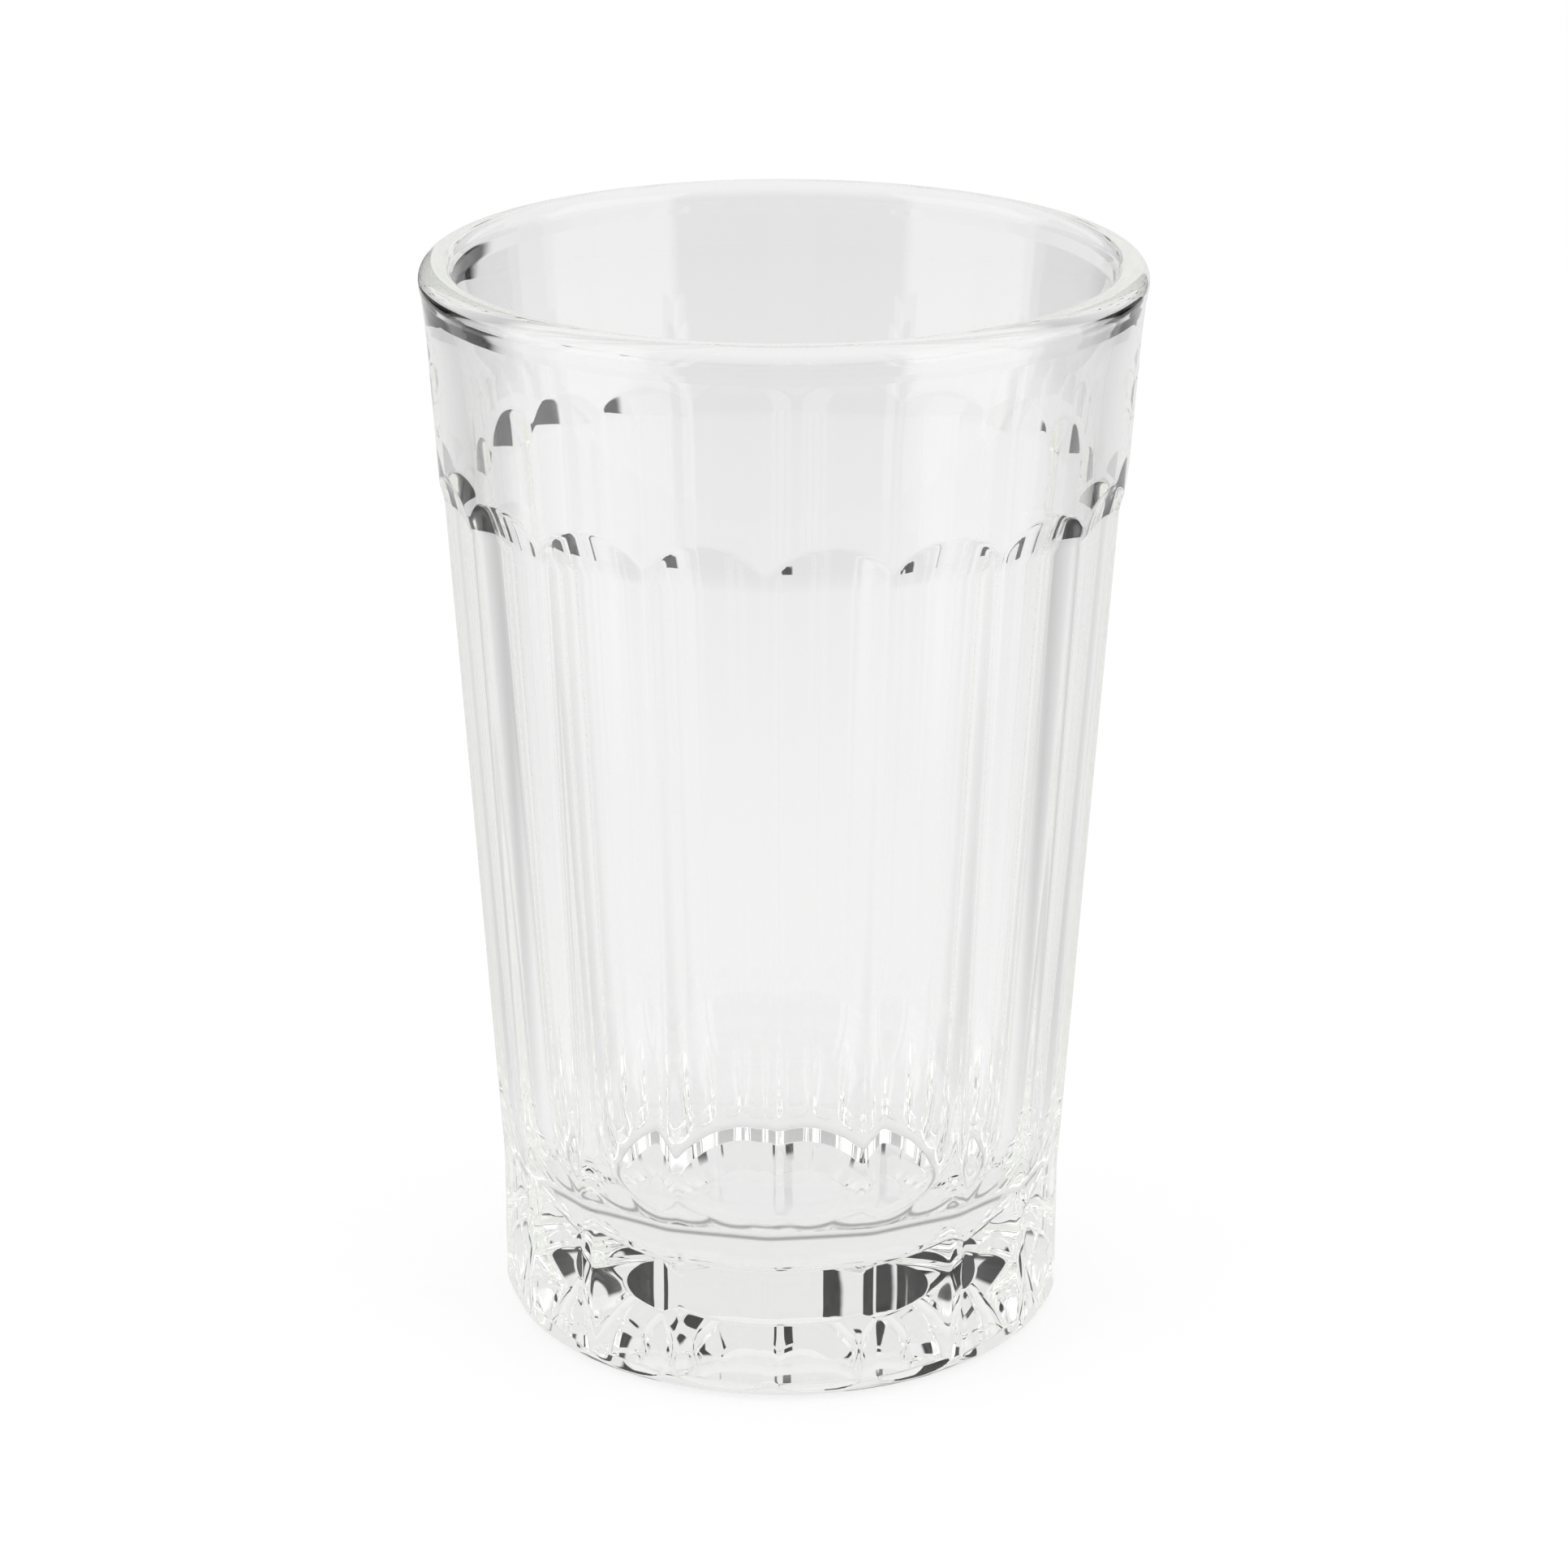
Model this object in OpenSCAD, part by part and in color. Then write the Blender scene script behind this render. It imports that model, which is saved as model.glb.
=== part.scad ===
// Juice tumbler pressed in one piece of clear glass.
// A rounded lip tops a smooth drinking band. Below the band a ring of tall flat panels runs
// down to a heavy foot, which rests on a flat ring round a push-up. Each panel ends at the top
// in a ramp, and where the ramp runs out through the round band it draws an arch.
// The z axis is the axis of the glass, z = 0 is the table, and lengths are in millimetres.

/* [Overall] */
// Height from the table to the top of the lip
glass_height = 108; // [96:1:120]
// Outside diameter across the lip
lip_diameter = 70; // [66:0.5:76]
// Outside diameter across the ridges of the foot
foot_diameter = 56.9; // [52:0.1:60]

/* [Lip and band] */
// Thickness of the rounded lip
lip_thickness = 3.4; // [2.8:0.1:4]
// How far the lip stands out from the band under it
lip_overhang = 0.3; // [0.2:0.05:0.8]
// How far the lip stands in from the inner wall
lip_inner_overhang = 0.15; // [0.05:0.05:0.4]
// Height of the cone that leads from the band out to the lip, below the lip's middle
lip_lead_height = 3; // [2.4:0.1:4]
// Angle below the horizontal at which that cone runs into the lip
lip_lead_angle = 25; // [15:1:40]
// How far the band stands out from the ridges between the panels
band_relief = 0.33; // [0.1:0.01:0.8]

/* [Panels] */
// Number of panels round the glass
panel_count = 18; // [14:1:22]
// Width of the rounded ridge between two panels
ridge_width = 0.8; // [0.4:0.1:1.6]
// How far below the top of the foot the panels start to lean out
panel_bend_drop = 0.8; // [0.3:0.1:2]
// Height from the top of the lip down to the crease where the ramps start
ramp_drop = 22.6; // [18:0.1:28]
// How much more a ramp leans out than the panel under it, in degrees
ramp_lean = 11; // [8:0.5:25]
// How far below that crease the ridges start to lean out to the band
ridge_end_drop = 0.8; // [0.4:0.1:2]

/* [Foot] */
// Height of the upright foot
foot_rise = 15.5; // [10:0.5:20]
// Rounding of the foot's bottom edge
foot_edge_radius = 2.6; // [1:0.1:3]
// Width of the flat ring that the glass rests on
rest_ring_width = 4; // [2:0.1:6]
// Depth of the push-up under the foot
push_up_depth = 3; // [1:0.1:5]
// Diameter of the flat top of the push-up
push_up_top_diameter = 21; // [14:0.5:28]

/* [Inside] */
// Thickness of the glass under the cup's floor, from the table
floor_thickness = 9.3; // [7:0.1:14]
// Thickness of the wall at the cup's floor, from the inner wall to the ridges of the foot
foot_wall = 4.4; // [3.5:0.05:6]
// Radius of the bowl that rounds the floor into the inner wall
floor_fillet = 15; // [6:0.5:18]

/* [Hidden] */
$fn = 128;
// How far cuts run past the faces that they open
overrun = 1;

lip_radius = lip_thickness / 2;
lip_z = glass_height - lip_radius;
lip_centre = [lip_diameter / 2 - lip_radius, lip_z];
lip_lead_z = lip_z - lip_lead_height;
// How deep the lead's upper edge lies in the round of the lip
lip_lead_sink = 0.05;
foot_radius = foot_diameter / 2;
ramp_z = glass_height - ramp_drop;

// The ridges and the band lean out by the same taper
ridge_lip_radius = lip_diameter / 2 - lip_overhang - band_relief;
taper = (ridge_lip_radius - foot_radius) / (lip_z - foot_rise);
function ridge_radius(z) = foot_radius + (z - foot_rise) * taper;
function band_radius(z) = ridge_radius(z) + band_relief;

// The inner wall runs from the floor to the inside of the lip
inner_floor_radius = foot_radius - foot_wall;
inner_lip_radius = lip_diameter / 2 - lip_thickness + lip_inner_overhang;
inner_taper = (inner_lip_radius - inner_floor_radius) / (lip_z - floor_thickness);
inner_angle = atan(inner_taper);
function inner_radius(z) = inner_floor_radius + (z - floor_thickness) * inner_taper;

// A ramp leans out until it has climbed through the band, and the ridges lean out as steeply
ramp_taper = tan(atan(taper) + ramp_lean);
shoulder_low_z = ramp_z - ridge_end_drop;
shoulder_top_z = shoulder_low_z + band_relief / (ramp_taper - taper);

// A panel spans its share of the circle, less the ridge
pitch_angle = 360 / panel_count;
ridge_angle = 2 * asin(ridge_width / 2 / foot_radius);
panel_half_angle = (pitch_angle - ridge_angle) / 2;
panel_foot_x = foot_radius * cos(panel_half_angle);
panel_ramp_x = ridge_radius(ramp_z) * cos(panel_half_angle);
panel_width = 2 * ridge_radius(ramp_z) * sin(panel_half_angle);

// Outer outline of half the glass, without the lip
module outer_outline() {
    difference() {
        polygon([
            [0, 0],
            [foot_radius, 0],
            [foot_radius, foot_rise],
            [ridge_radius(shoulder_low_z), shoulder_low_z],
            [band_radius(shoulder_top_z), shoulder_top_z],
            [band_radius(lip_lead_z), lip_lead_z],
            lip_centre + (lip_radius - lip_lead_sink) * [cos(lip_lead_angle), -sin(lip_lead_angle)],
            lip_centre,
            [0, lip_z]
        ]);
        foot_edge_cut();
    }
}

// What the rounding takes off the foot's bottom corner
module foot_edge_cut() {
    difference() {
        translate([foot_radius - foot_edge_radius, -overrun])
            square([foot_edge_radius + overrun, foot_edge_radius + overrun]);
        translate([foot_radius - foot_edge_radius, foot_edge_radius])
            circle(r = foot_edge_radius);
    }
}

// The cup's inside, from the floor to the middle of the lip
module cavity_outline() {
    centre_z = floor_thickness + floor_fillet;
    centre = [inner_radius(centre_z) - floor_fillet / cos(inner_angle), centre_z];
    across = [cos(inner_angle), -sin(inner_angle)];
    difference() {
        polygon([
            [0, floor_thickness],
            [inner_floor_radius, floor_thickness],
            [inner_radius(lip_z + overrun), lip_z + overrun],
            [0, lip_z + overrun]
        ]);
        difference() {
            polygon([
                centre,
                [centre[0], floor_thickness - overrun],
                [inner_floor_radius + overrun, floor_thickness - overrun],
                centre + (floor_fillet + overrun) * across
            ]);
            translate(centre)
                circle(r = floor_fillet);
        }
    }
}

// The hollow under the foot, inside the rest ring
module push_up_outline() {
    rest_ring_inner = foot_radius - foot_edge_radius - rest_ring_width;
    polygon([
        [0, -overrun],
        [rest_ring_inner, -overrun],
        [rest_ring_inner, 0],
        [push_up_top_diameter / 2, push_up_depth],
        [0, push_up_depth]
    ]);
}

// The round glass before its panels
module blank() {
    rotate_extrude() {
        difference() {
            outer_outline();
            cavity_outline();
            push_up_outline();
        }
        translate(lip_centre)
            circle(r = lip_radius);
    }
}

// Side view of what a panel takes off: upright along the foot, leaning out with the wall, and
// leaning out more along the ramp, past the lip
module panel_side_outline() {
    ramp_end_x = panel_ramp_x + (glass_height - ramp_z) * ramp_taper;
    polygon([
        [panel_foot_x, -overrun],
        [panel_foot_x, foot_rise - panel_bend_drop],
        [panel_ramp_x, ramp_z],
        [ramp_end_x, glass_height],
        [ramp_end_x, -overrun]
    ]);
}

// What one panel takes off the blank, on the +X side
module panel_cut() {
    rotate([90, 0, 0])
        linear_extrude(height = 2 * panel_width, center = true)
            panel_side_outline();
}

module tumbler() {
    color("whitesmoke", 0.4)
        difference() {
            blank();
            for (panel = [0 : panel_count - 1])
                rotate([0, 0, panel * pitch_angle])
                    panel_cut();
        }
}

tumbler();
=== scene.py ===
# %% [markdown]
# A juice tumbler in Blender.
# The glass is pressed from one gob of clear glass: a mould shapes the panels, a ring shapes the
# lip and a plunger shapes the inside. The imported CAD model is loaded first and never changed. It
# gives the box that the finished mesh has to fill, and its bounds give the glass's height and its
# width across the lip.

# %% Load the frame
import math

import bmesh
import bpy
from mathutils import Matrix, Vector


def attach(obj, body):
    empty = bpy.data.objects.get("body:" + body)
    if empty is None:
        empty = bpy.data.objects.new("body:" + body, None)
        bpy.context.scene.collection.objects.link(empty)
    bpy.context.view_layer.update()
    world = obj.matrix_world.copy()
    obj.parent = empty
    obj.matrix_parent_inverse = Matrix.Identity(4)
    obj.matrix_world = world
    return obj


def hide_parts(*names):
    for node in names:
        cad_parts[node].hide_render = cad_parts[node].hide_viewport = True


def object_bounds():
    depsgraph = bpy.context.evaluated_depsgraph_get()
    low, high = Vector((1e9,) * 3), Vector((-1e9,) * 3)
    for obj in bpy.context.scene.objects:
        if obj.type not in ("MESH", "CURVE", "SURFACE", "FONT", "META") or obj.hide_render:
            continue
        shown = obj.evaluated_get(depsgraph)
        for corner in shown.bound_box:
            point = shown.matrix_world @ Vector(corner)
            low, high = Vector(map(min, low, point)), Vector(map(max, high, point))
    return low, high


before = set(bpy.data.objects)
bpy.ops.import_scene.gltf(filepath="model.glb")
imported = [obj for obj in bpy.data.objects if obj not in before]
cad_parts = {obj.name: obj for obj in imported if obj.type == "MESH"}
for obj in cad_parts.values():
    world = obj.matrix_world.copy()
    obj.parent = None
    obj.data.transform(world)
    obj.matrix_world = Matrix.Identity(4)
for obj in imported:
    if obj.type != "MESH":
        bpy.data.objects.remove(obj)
cad_low, cad_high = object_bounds()
MM = 0.001
scene = bpy.context.scene
glass_height = cad_high[2] - cad_low[2]
lip_radius = (cad_high[0] - cad_low[0]) / 2
print("glass", round(glass_height / MM, 2), "mm tall,", round(2 * lip_radius / MM, 2), "mm across the lip")

# %% [markdown]
# The camera stands about 46 cm away and looks down by 20 degrees with a long lens, so the lip
# shows as a wide ellipse and the wall hardly narrows with distance. One ridge of the glass sits
# a little to the left of the middle, so the camera walks round the glass by that angle.

# %% Place the camera
IMAGE_SIZE = 1932
FOCAL_PIXELS = 5726.9
SENSOR_WIDTH = 36
MIDDLE_PIXEL = 964.66
camera_distance = 0.463
camera_elevation = math.radians(19.998)
camera_turn = math.radians(2.56)
camera_roll = math.radians(0.112)
look_at = Vector((0, 0, 0.054237))

camera_data = bpy.data.cameras.new("camera")
camera_data.sensor_width = SENSOR_WIDTH
camera_data.lens = FOCAL_PIXELS / IMAGE_SIZE * SENSOR_WIDTH
camera_data.shift_x = (IMAGE_SIZE / 2 - MIDDLE_PIXEL) / IMAGE_SIZE
camera_data.clip_start = 0.01
camera = bpy.data.objects.new("camera", camera_data)
scene.collection.objects.link(camera)
towards = Vector((
    math.sin(camera_turn) * math.cos(camera_elevation),
    -math.cos(camera_turn) * math.cos(camera_elevation),
    math.sin(camera_elevation),
))
camera.location = look_at + camera_distance * towards
camera.rotation_euler = (math.pi / 2 - camera_elevation, 0, camera_turn)
camera.rotation_euler.rotate_axis("Z", camera_roll)
scene.camera = camera
print("lens", round(camera_data.lens, 1), "mm, camera at", [round(c, 3) for c in camera.location])

# %% [markdown]
# A pressed glass is round before its panels, so it starts as half an outline that is spun round
# the axis. Each corner of the outline is a radius, a height and the rounding that the mould or
# the fire polish gives it. The outline runs from the middle of the underside, over the foot, up
# the wall and over the lip, and down the inside to the middle of the floor.

# %% Sizes of the round blank
foot_radius = 28.45 * MM
foot_rise = 15.5 * MM
foot_edge = 2.6 * MM
band_relief = 0.33 * MM
lip_overhang = 0.29 * MM
lip_thickness = 3.4 * MM
lip_lead_drop = 7.0 * MM
lip_neck_drop = 3.6 * MM
lip_neck_inset = 0.3 * MM
lip_bead_drop = 2.08 * MM
lip_inner_drop = 3.0 * MM
ramp_drop = 23.3 * MM
ramp_low = glass_height - ramp_drop
push_up_depth = 3.0 * MM
push_up_radius = 10.5 * MM
push_up_top_round = 3.0 * MM
push_up_edge_round = 2.0 * MM
rest_ring_width = 4.0 * MM
rest_ring_outer = foot_radius - foot_edge
rest_ring_inner = rest_ring_outer - rest_ring_width
floor_height = 9.3 * MM
floor_radius = 24.05 * MM
floor_fillet = 15 * MM
lip_inner_overhang = 0.15 * MM
inner_lip_radius = lip_radius - lip_thickness + lip_inner_overhang
lip_middle = glass_height - lip_thickness / 2

ridge_at_lip = lip_radius - lip_overhang - band_relief
wall_taper = (ridge_at_lip - foot_radius) / (lip_middle - foot_rise)


def ridge_radius(z):
    """Radius of the ridges between the panels: upright along the foot, then leaning out."""
    return foot_radius + max(0.0, z - foot_rise) * wall_taper


def band_radius(z):
    return ridge_radius(z) + band_relief


print("wall leans out", round(math.degrees(math.atan(wall_taper)), 2), "degrees")

# %% [markdown]
# The corners are few, and a bevel rounds each of them: bmesh bevels a vertex of a bare line into
# an arc. The bevel wants the length that it takes off each side, which for a rounding of radius r
# at a corner that turns by an angle t is r * tan(t / 2).

# %% Draw the half outline
WALL_START_ROUND = 20 * MM
LIP_LEAD_ROUND = 8.0 * MM
LIP_NECK_ROUND = 2.0 * MM
LIP_INNER_ROUND = 4.0 * MM
lip_round = lip_thickness / 2
lip_lead_z = glass_height - lip_lead_drop
corners = [
    # radius, height, rounding, steps of the arc
    (0.0, push_up_depth, 0, 0),
    (push_up_radius, push_up_depth, push_up_top_round, 8),
    (rest_ring_inner, 0.0, push_up_edge_round, 6),
    (foot_radius, 0.0, foot_edge, 14),
    (foot_radius, foot_rise, WALL_START_ROUND, 6),
    (band_radius(ramp_low), ramp_low, 0, 0),
    (band_radius(lip_lead_z), lip_lead_z, LIP_LEAD_ROUND, 3),
    (lip_radius - lip_neck_inset, glass_height - lip_neck_drop, LIP_NECK_ROUND, 5),
    (lip_radius, glass_height - lip_bead_drop, lip_round, 5),
    (lip_radius, glass_height, lip_round, 14),
    (lip_radius - lip_thickness, glass_height, lip_round, 14),
    (inner_lip_radius, glass_height - lip_inner_drop, LIP_INNER_ROUND, 4),
    (floor_radius, floor_height, floor_fillet, 16),
    (0.0, floor_height, 0, 0),
]


def corner_setback(before, corner, after, rounding):
    """Length that a rounding takes off each side of a corner."""
    turn = (corner - before).angle(after - corner)
    return rounding * math.tan(turn / 2)


mesh = bmesh.new()
outline = [mesh.verts.new((radius, 0, height)) for radius, height, _, _ in corners]
for start, end in zip(outline, outline[1:]):
    mesh.edges.new((start, end))
places = [corner.co.copy() for corner in outline]
for index, (_, _, rounding, steps) in enumerate(corners):
    if not rounding:
        continue
    setback = corner_setback(places[index - 1], places[index], places[index + 1], rounding)
    bmesh.ops.bevel(
        mesh, geom=[outline[index]], offset=setback, offset_type="OFFSET", segments=steps,
        profile=0.5, affect="VERTICES", material=-1,
    )
print("outline of", len(mesh.verts), "points after rounding")

# %% [markdown]
# The mesh follows the panels only where it has rows of vertices. Long edges of the outline are
# therefore cut into short ones, and the rows are finest in the zone where the arches run.

# %% Add rows where the panels need them
ROW_IN_ARCHES = 0.24 * MM
ROW_ELSEWHERE = 4.0 * MM
BELOW_RAMP = 1.0 * MM
ABOVE_RAMP = 6.0 * MM
PANEL_DEPTH = 1.0 * MM
arch_zone = (ramp_low - BELOW_RAMP, ramp_low + ABOVE_RAMP)


def cuts_needed(edge, spacing):
    return max(0, math.ceil(edge.calc_length() / spacing) - 1)


def is_in_arches(edge):
    middle = (edge.verts[0].co + edge.verts[1].co) / 2
    is_outside = middle.x > ridge_radius(middle.z) - PANEL_DEPTH
    return is_outside and arch_zone[0] < middle.z < arch_zone[1]


for height in arch_zone:
    bmesh.ops.bisect_plane(
        mesh, geom=mesh.verts[:] + mesh.edges[:], plane_co=(0, 0, height), plane_no=(0, 0, 1),
    )
for edge in list(mesh.edges):
    cuts = cuts_needed(edge, ROW_IN_ARCHES if is_in_arches(edge) else ROW_ELSEWHERE)
    if cuts:
        bmesh.ops.subdivide_edges(mesh, edges=[edge], cuts=cuts)
print("outline of", len(mesh.verts), "points with the added rows")

# %% [markdown]
# All panels are alike, so only one slice of the glass is modelled and then repeated. Spin turns
# the outline through one panel's share of the circle, from the middle of one ridge to the next.
# The surface turns most at the ridges, so a sine moves the columns of vertices closer together
# there and further apart in the middle of the panel.

# %% Spin one slice
PANEL_COUNT = 18
COLUMNS_PER_PANEL = 28
COLUMN_CROWDING = 0.6
pitch = 2 * math.pi / PANEL_COUNT
bmesh.ops.rotate(
    mesh, verts=mesh.verts[:], cent=(0, 0, 0), matrix=Matrix.Rotation(-pitch / 2, 3, "Z"),
)
bmesh.ops.spin(
    mesh, geom=mesh.verts[:] + mesh.edges[:], cent=(0, 0, 0), axis=(0, 0, 1),
    angle=pitch, steps=COLUMNS_PER_PANEL,
)
for vert in mesh.verts:
    radius = math.hypot(vert.co.x, vert.co.y)
    share = 2 * math.atan2(vert.co.y, vert.co.x) / pitch
    angle = pitch / 2 * (share + COLUMN_CROWDING * math.sin(math.pi * share) / math.pi)
    vert.co.x = radius * math.cos(angle)
    vert.co.y = radius * math.sin(angle)
print("slice of", len(mesh.faces), "faces")

# %% [markdown]
# Each panel is nearly flat and a little hollow, and a narrow ridge is left between two panels. At
# its top a panel bends out into a ramp, and where the ramp comes out through the round band it
# draws an arch. A formula moves each vertex inwards: it compares the round blank with the panel's
# surface and keeps whichever lies nearer the axis, with a soft blend, so that ridges and arch
# edges are round, as they are on fire-polished glass.

# %% Press the panel
ridge_width = 0.8 * MM
foot_hollow_radius = 35 * MM
wall_hollow_radius = 38 * MM
hollow_fade = 25 * MM
ramp_slope = 0.13
ramp_round = 0.035
ramp_blend = 0.3 * MM
arch_blend = 0.1 * MM
ridge_blend = 0.6 * MM
half_panel = (pitch - ridge_width / foot_radius) / 2


def soft_least(a, b, blend):
    """The smaller of two lengths, with a rounded change from one to the other."""
    share = min(max(0.5 + 0.5 * (b - a) / blend, 0.0), 1.0)
    return b * (1 - share) + a * share - blend * share * (1 - share)


def panel_radius(z, angle):
    """Radius of one panel's surface at an angle from the panel's middle."""
    ridge = ridge_radius(z)
    across = ridge * math.tan(angle)
    half_chord = ridge * math.sin(half_panel)
    up_wall = min(max((z - foot_rise) / hollow_fade, 0.0), 1.0)
    bend = (1 - up_wall) / foot_hollow_radius + up_wall / wall_hollow_radius
    sag = (half_chord ** 2 - across ** 2) * bend / 2
    climb = z - ramp_low
    ramp = -soft_least(0.0, -climb, ramp_blend)
    rise = ramp_slope * ramp + ramp_round * ramp ** 2 / MM
    return (ridge * math.cos(half_panel) - sag + rise) / math.cos(angle)


pressed_count = 0
for vert in mesh.verts:
    radius = math.hypot(vert.co.x, vert.co.y)
    if vert.co.z > arch_zone[1] or radius < floor_radius:
        continue
    angle = math.atan2(vert.co.y, vert.co.x)
    own = panel_radius(vert.co.z, angle)
    neighbour = panel_radius(vert.co.z, pitch - abs(angle))
    ridged = soft_least(own, neighbour, ridge_blend)
    new_radius = soft_least(radius, ridged, arch_blend)
    vert.co.x *= new_radius / radius
    vert.co.y *= new_radius / radius
    pressed_count += 1
print("pressed", pressed_count, "vertices of the slice")

# %% [markdown]
# A second spin repeats the slice round the axis, and merging doubles closes the seams between the
# slices and the two poles on the axis.

# %% Repeat the slice
MERGE_DISTANCE = 0.001 * MM
bmesh.ops.spin(
    mesh, geom=mesh.verts[:] + mesh.edges[:] + mesh.faces[:], cent=(0, 0, 0), axis=(0, 0, 1),
    angle=2 * math.pi - pitch, steps=PANEL_COUNT - 1, use_duplicate=True,
)
bmesh.ops.remove_doubles(mesh, verts=mesh.verts[:], dist=MERGE_DISTANCE)
bmesh.ops.recalc_face_normals(mesh, faces=mesh.faces[:])
open_edges = sum(1 for edge in mesh.edges if len(edge.link_faces) != 2)
print("tumbler of", len(mesh.faces), "faces,", open_edges, "open edges")

# %% [markdown]
# The finished mesh becomes one object. It stands for the CAD solid of the same name, moves with the
# only body, and gets the clear glass that the next cell makes.

# %% Make the tumbler object
tumbler_mesh = bpy.data.meshes.new("juice_tumbler")
mesh.to_mesh(tumbler_mesh)
mesh.free()
tumbler_mesh.polygons.foreach_set("use_smooth", [True] * len(tumbler_mesh.polygons))
tumbler = bpy.data.objects.new("juice_tumbler", tumbler_mesh)
scene.collection.objects.link(tumbler)
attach(tumbler, "root")
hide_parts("tumbler")
tumbler_mesh.calc_loop_triangles()
print("tumbler of", len(tumbler_mesh.loop_triangles), "triangles")

# %% [markdown]
# Soda-lime glass bends light with an index of about 1.52. It is clear in thin walls and faintly
# yellow-green where light runs through it for long, as in the lip, so the colour comes from
# absorption in the volume and not from a tint on the surface.

# %% Make the clear glass
GLASS_IOR = 1.52
ABSORPTION_COLOUR = (0.98, 1.0, 0.92, 1)
ABSORPTION_DENSITY = 3
glass = bpy.data.materials.new("clear_glass")
glass.use_nodes = True
glass_nodes = glass.node_tree.nodes
glass_links = glass.node_tree.links
shader = glass_nodes["Principled BSDF"]
shader.inputs["Base Color"].default_value = (1, 1, 1, 1)
shader.inputs["Transmission Weight"].default_value = 1
shader.inputs["IOR"].default_value = GLASS_IOR
absorption = glass_nodes.new("ShaderNodeVolumeAbsorption")
absorption.inputs["Color"].default_value = ABSORPTION_COLOUR
absorption.inputs["Density"].default_value = ABSORPTION_DENSITY
glass_links.new(absorption.outputs["Volume"], glass_nodes["Material Output"].inputs["Volume"])
tumbler_mesh.materials.append(glass)
print("glass with an index of", GLASS_IOR)

# %% [markdown]
# Pressed glass is never quite flat or evenly polished. One noise texture gives the surface a faint
# ripple through a bump, and a second one takes a trace of gloss off in patches. Both sit still on
# the glass, because they read its own coordinates.

# %% Ripple and polish the glass
RIPPLE_SCALE = 140
RIPPLE_DEPTH = 0.1 * MM
RIPPLE_STRENGTH = 0.15
POLISH_SCALE = 45
DULL_FROM = 0.45
DULL_TO = 0.75
ROUGHEST = 0.02
glass_place = glass_nodes.new("ShaderNodeTexCoord")
ripple = glass_nodes.new("ShaderNodeTexNoise")
ripple.inputs["Scale"].default_value = RIPPLE_SCALE
ripple.inputs["Detail"].default_value = 1
glass_links.new(glass_place.outputs["Object"], ripple.inputs["Vector"])
bump = glass_nodes.new("ShaderNodeBump")
bump.inputs["Strength"].default_value = RIPPLE_STRENGTH
bump.inputs["Distance"].default_value = RIPPLE_DEPTH
glass_links.new(ripple.outputs["Fac"], bump.inputs["Height"])
glass_links.new(bump.outputs["Normal"], shader.inputs["Normal"])
polish = glass_nodes.new("ShaderNodeTexNoise")
polish.inputs["Scale"].default_value = POLISH_SCALE
polish.inputs["Detail"].default_value = 3
glass_links.new(glass_place.outputs["Object"], polish.inputs["Vector"])
polish_range = glass_nodes.new("ShaderNodeMapRange")
polish_range.inputs["From Min"].default_value = DULL_FROM
polish_range.inputs["From Max"].default_value = DULL_TO
polish_range.inputs["To Min"].default_value = 0
polish_range.inputs["To Max"].default_value = ROUGHEST
glass_links.new(polish.outputs["Fac"], polish_range.inputs["Value"])
glass_links.new(polish_range.outputs[0], shader.inputs["Roughness"])
print("glass with", len(glass_nodes), "nodes")

# %% [markdown]
# The glass stands on a plain pale table, modelled as a flat disc. It lies a hair under the rest
# ring, so that table and glass never share one plane.

# %% Lay the table
TABLE_RADIUS = 0.46
TABLE_DROP = 0.02 * MM
table_mesh = bpy.data.meshes.new("table")
disc = bmesh.new()
bmesh.ops.create_circle(disc, cap_ends=True, segments=96, radius=TABLE_RADIUS)
bmesh.ops.translate(disc, verts=disc.verts[:], vec=(0, 0, -TABLE_DROP))
disc.to_mesh(table_mesh)
disc.free()
table = bpy.data.objects.new("table", table_mesh)
scene.collection.objects.link(table)
print("table", 2 * TABLE_RADIUS, "m wide")

# %% [markdown]
# Table and studio are painted with sums of shader nodes: where a point lies, and how softly one
# tone changes into the next. Five small functions keep those sums readable. They add their nodes
# to the tree that is being built at the time, which the names nodes and links stand for.

# %% Write functions for shader sums
TO_DEGREES = 180 / math.pi


def calc(operation, *values):
    """A Math node on numbers or sockets."""
    node = nodes.new("ShaderNodeMath")
    node.operation = operation
    for socket, value in zip(node.inputs, values):
        if isinstance(value, (int, float)):
            socket.default_value = value
        else:
            links.new(value, socket)
    return node.outputs[0]


def fade(value, start, end, level):
    """1 at start, changing evenly to a level at end."""
    node = nodes.new("ShaderNodeMapRange")
    node.inputs["From Min"].default_value = start
    node.inputs["From Max"].default_value = end
    node.inputs["To Min"].default_value = 1
    node.inputs["To Max"].default_value = level
    links.new(value, node.inputs["Value"])
    return node.outputs[0]


def above(value, edge, blur):
    """0 below an edge and 1 above it, with a soft change."""
    node = nodes.new("ShaderNodeMapRange")
    node.interpolation_type = "SMOOTHSTEP"
    node.inputs["From Min"].default_value = edge - blur
    node.inputs["From Max"].default_value = edge + blur
    links.new(value, node.inputs["Value"])
    return node.outputs[0]


def below(value, edge, blur):
    return calc("SUBTRACT", 1.0, above(value, edge, blur))


def between(value, low, high, blur):
    return calc("MULTIPLY", above(value, low, blur), below(value, high, blur))


print("shader sums measure angles in degrees,", round(TO_DEGREES, 1), "to a radian")
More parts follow.
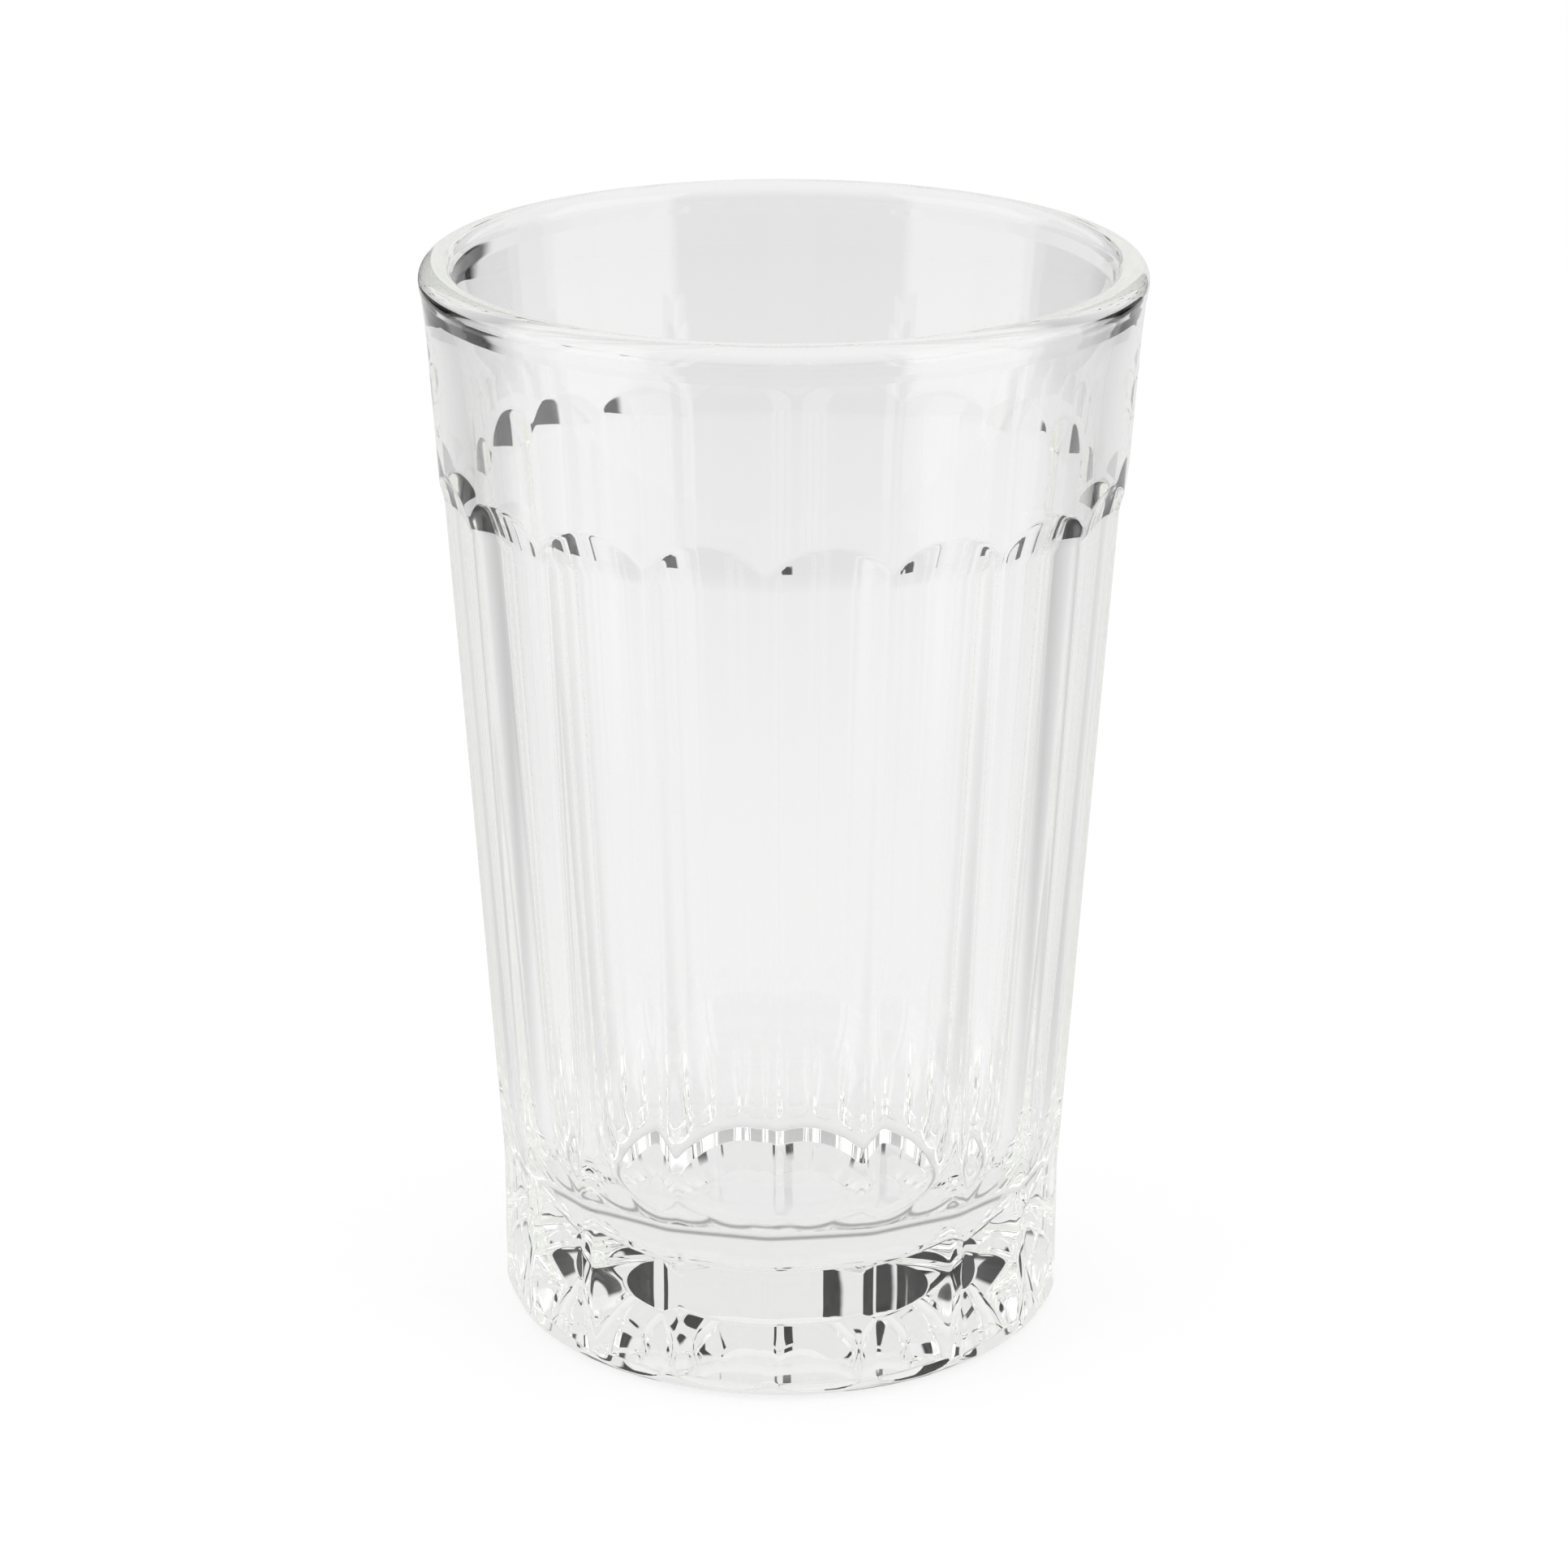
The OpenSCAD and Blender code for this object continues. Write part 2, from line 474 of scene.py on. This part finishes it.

# %% [markdown]
# The table's paint has two parts. A pale matt surface takes the shadow of the glass. A glow, which
# the Light Path node gives only to some rays, makes the table white: rays straight from the camera
# see it even, and rays that come through the glass see painted light and shade on it, uneven as a
# real table under soft lamps is. Places on the table are measured from the glass, with the angle 0
# straight behind it.

# %% Start the table's paint
TABLE_GREY = 0.35
paint = bpy.data.materials.new("white_table")
paint.use_nodes = True
nodes, links = paint.node_tree.nodes, paint.node_tree.links
nodes.clear()
matt = nodes.new("ShaderNodeBsdfDiffuse")
matt.inputs["Color"].default_value = (TABLE_GREY, TABLE_GREY, TABLE_GREY, 1)
table_place = nodes.new("ShaderNodeTexCoord")
table_axes = nodes.new("ShaderNodeSeparateXYZ")
links.new(table_place.outputs["Object"], table_axes.inputs[0])
table_x, table_y = table_axes.outputs["X"], table_axes.outputs["Y"]
table_distance = nodes.new("ShaderNodeVectorMath")
table_distance.operation = "LENGTH"
links.new(table_place.outputs["Object"], table_distance.inputs[0])
from_axis = table_distance.outputs["Value"]
table_azimuth = calc("MULTIPLY", calc("ARCTAN2", table_x, table_y), TO_DEGREES)
table_aside = calc("ABSOLUTE", table_azimuth)
print("table paint measures places with", len(nodes), "nodes")

# %% [markdown]
# Through the glass the table shows painted light, brightest close behind it. It dims slowly towards
# the backdrop, more towards both sides, and in front, where the camera side of the room is dim.

# %% Fade the painted light seen through the glass
GLASS_GLOW = 0.62
JUST_BEHIND = 0.03
BEHIND_END = 0.7
BEHIND_LEVEL = 0.7
FRONT_START = -0.1
FRONT_END = -0.4
FRONT_LEVEL = 0.52
ASIDE_START = 20
ASIDE_END = 75
ASIDE_LEVEL = 0.4
fade_behind = fade(table_y, JUST_BEHIND, BEHIND_END, BEHIND_LEVEL)
fade_in_front = fade(table_y, FRONT_START, FRONT_END, FRONT_LEVEL)
lost_aside = calc("SUBTRACT", 1.0, fade(table_aside, ASIDE_START, ASIDE_END, ASIDE_LEVEL))
behind = above(table_y, JUST_BEHIND, JUST_BEHIND)
fade_aside = calc("SUBTRACT", 1.0, calc("MULTIPLY", behind, lost_aside))
# Painted light on the open table: the glass glow times its fades towards the back, the front and the
# sides.
painted_open_light = calc("MULTIPLY", GLASS_GLOW, calc("MULTIPLY", fade_behind, fade_in_front))
painted_open_light = calc("MULTIPLY", painted_open_light, fade_aside)
print("table fades with", len(nodes), "nodes")

# %% [markdown]
# Two soft boxes stand left and right of the glass, a little in front of it, and the table under
# them is painted bright again, as a pool of their light. The painted bright parts are two sectors
# that start 15 cm away from the axis.

# %% Paint light on the table under the soft boxes
BOX_GLOW = 0.9
BOX_NEAR = 85
BOX_FAR = 138
SECTOR_NEAR = BOX_NEAR + 3
SECTOR_START = 0.15
after_near = above(table_aside, SECTOR_NEAR, 4)
before_far = below(table_aside, BOX_FAR, 6)
in_sector = calc("MULTIPLY", after_near, before_far)
# Painted pool of light: the two sectors under the soft boxes, from 15 cm off the axis outwards.
painted_box_pool = calc("MULTIPLY", in_sector, above(from_axis, SECTOR_START, 0.05))
print("bright table from", SECTOR_NEAR, "to", BOX_FAR, "degrees")

# %% [markdown]
# Where the rest ring touches the table hardly any light gets in, so a narrow ring of the glow is
# dimmed. Inside that ring the clear push-up gathers light, and the table there is a little brighter
# than the open table.

# %% Shade the table under the foot
FOOT_SHADE = 0.6
PUSH_UP_LIGHT = 1.2
SHADE_INSIDE = rest_ring_outer - 1.2 * MM
SHADE_EDGE = rest_ring_outer + 0.4 * MM
SHADE_BLUR = 0.7 * MM
near_foot = below(from_axis, SHADE_EDGE, SHADE_BLUR)
lit_inside = calc("MULTIPLY", below(from_axis, SHADE_INSIDE, SHADE_BLUR), PUSH_UP_LIGHT)
shade = calc("MULTIPLY", near_foot, calc("SUBTRACT", 1.0, lit_inside))
painted_open_light = calc("MULTIPLY", painted_open_light, calc("SUBTRACT", 1.0, calc("MULTIPLY", shade, FOOT_SHADE)))
print("shade from", round(SHADE_INSIDE / MM, 2), "to", round(SHADE_EDGE / MM, 2), "mm off the axis")

# %% [markdown]
# Last, matt surface and glow are added together. The sum for camera rays is white and no more, so
# the shadow round the foot stays visible.

# %% Join the table's paint
CAMERA_GLOW = 0.75
table_path = nodes.new("ShaderNodeLightPath")
seen = table_path.outputs["Is Camera Ray"]
through = calc(
    "MAXIMUM", table_path.outputs["Is Glossy Ray"], table_path.outputs["Is Transmission Ray"],
)
# Painted light and shade on the table, seen only through the glass: faded open table, foot shade and the
# pools under the boxes.
painted_table_light = calc("MAXIMUM", painted_open_light, calc("MULTIPLY", BOX_GLOW, painted_box_pool))
glass_glow = calc("MULTIPLY", through, painted_table_light)
glow = nodes.new("ShaderNodeEmission")
links.new(calc("ADD", calc("MULTIPLY", CAMERA_GLOW, seen), glass_glow), glow.inputs["Strength"])
paint_sum = nodes.new("ShaderNodeAddShader")
paint_out = nodes.new("ShaderNodeOutputMaterial")
links.new(matt.outputs[0], paint_sum.inputs[0])
links.new(glow.outputs[0], paint_sum.inputs[1])
links.new(paint_sum.outputs[0], paint_out.inputs["Surface"])
table_mesh.materials.append(paint)
print("table paint with", len(nodes), "nodes")

# %% [markdown]
# Clear glass shows its surroundings and little else, so the studio is part of the look. It is
# drawn in the world: every direction has an azimuth, 0 straight behind the glass and positive to
# the right, and a height above the horizon, both in degrees.

# %% Measure directions in the studio
world = bpy.data.worlds.new("studio")
scene.world = world
world.use_nodes = True
nodes, links = world.node_tree.nodes, world.node_tree.links
nodes.clear()
studio_place = nodes.new("ShaderNodeTexCoord")
studio_axes = nodes.new("ShaderNodeSeparateXYZ")
links.new(studio_place.outputs["Generated"], studio_axes.inputs[0])
towards_azimuth = calc("ARCTAN2", studio_axes.outputs["X"], studio_axes.outputs["Y"])
azimuth = calc("MULTIPLY", towards_azimuth, TO_DEGREES)
height = calc("MULTIPLY", calc("ARCSINE", studio_axes.outputs["Z"]), TO_DEGREES)
aside = calc("ABSOLUTE", azimuth)
print("studio measures directions with", len(nodes), "nodes")

# %% [markdown]
# The backdrop is a pale sheet behind the glass. On each side of it a dark gap opens to the unlit
# room, and beyond the table's edge the room's dark floor and the foot of its walls show up to a
# little above the horizon. Ridges, ramps and foot bend those dark parts into the crisp black marks
# that make clear glass readable on white.

# %% Leave dark gaps beside the backdrop
GAP_LEFT = (-36, -13.5)
GAP_RIGHT = (19, 33)
GAP_TOP = 36
GAP_BLUR = 1.0
FLOOR_LEFT = -80
FLOOR_RIGHT = 66
FLOOR_LINE = 6
FLOOR_BLUR = 3.5
gap_left = between(azimuth, GAP_LEFT[0], GAP_LEFT[1], GAP_BLUR)
gap_right = between(azimuth, GAP_RIGHT[0], GAP_RIGHT[1], GAP_BLUR)
upright_gaps = calc("MULTIPLY", calc("ADD", gap_left, gap_right), below(height, GAP_TOP, 3))
floor_left = between(azimuth, FLOOR_LEFT, GAP_LEFT[1], GAP_BLUR)
floor_right = between(azimuth, GAP_RIGHT[0], FLOOR_RIGHT, GAP_BLUR)
below_line = below(height, FLOOR_LINE, FLOOR_BLUR)
room_floor = calc("MULTIPLY", calc("ADD", floor_left, floor_right), below_line)
gaps = calc("MAXIMUM", upright_gaps, room_floor)
print("gaps from", GAP_LEFT, "and", GAP_RIGHT, "degrees")

# %% [markdown]
# Two large soft boxes light the glass from the left and the right, a little in front of it, and
# draw the pale stripes inside the wall. Behind the camera the room is dimmer. Camera rays see plain
# white, so the picture's background stays clean, and light that bounces inside the glass is
# followed for long enough to get out again.

# %% Light the studio
BACKDROP = 0.8
GAP_DEPTH = 0.995
BOX_LIGHT = 1.55
BOX_TOP = 45
BOX_BLUR = 1.5
CAMERA_SIDE = 0.48
BOUNCES = 200
below_box_top = below(height, BOX_TOP, 4)
boxes = calc("MULTIPLY", between(aside, BOX_NEAR, BOX_FAR, BOX_BLUR), below_box_top)
camera_side = calc("MULTIPLY", above(aside, BOX_FAR, BOX_BLUR), below_box_top)
level = calc("ADD", BACKDROP, calc("MULTIPLY", gaps, -GAP_DEPTH * BACKDROP))
level = calc("ADD", level, calc("MULTIPLY", boxes, BOX_LIGHT - BACKDROP))
level = calc("ADD", level, calc("MULTIPLY", camera_side, CAMERA_SIDE - BACKDROP))
studio_path = nodes.new("ShaderNodeLightPath")
seen = studio_path.outputs["Is Camera Ray"]
level = calc("ADD", calc("MULTIPLY", level, calc("SUBTRACT", 1.0, seen)), seen)
background = nodes.new("ShaderNodeBackground")
background.inputs["Color"].default_value = (1, 1, 1, 1)
links.new(level, background.inputs["Strength"])
studio_out = nodes.new("ShaderNodeOutputWorld")
links.new(background.outputs[0], studio_out.inputs["Surface"])
scene.view_settings.view_transform = "Standard"
scene.cycles.max_bounces = BOUNCES
scene.cycles.transmission_bounces = BOUNCES
scene.cycles.glossy_bounces = BOUNCES
print("studio with", len(nodes), "nodes")
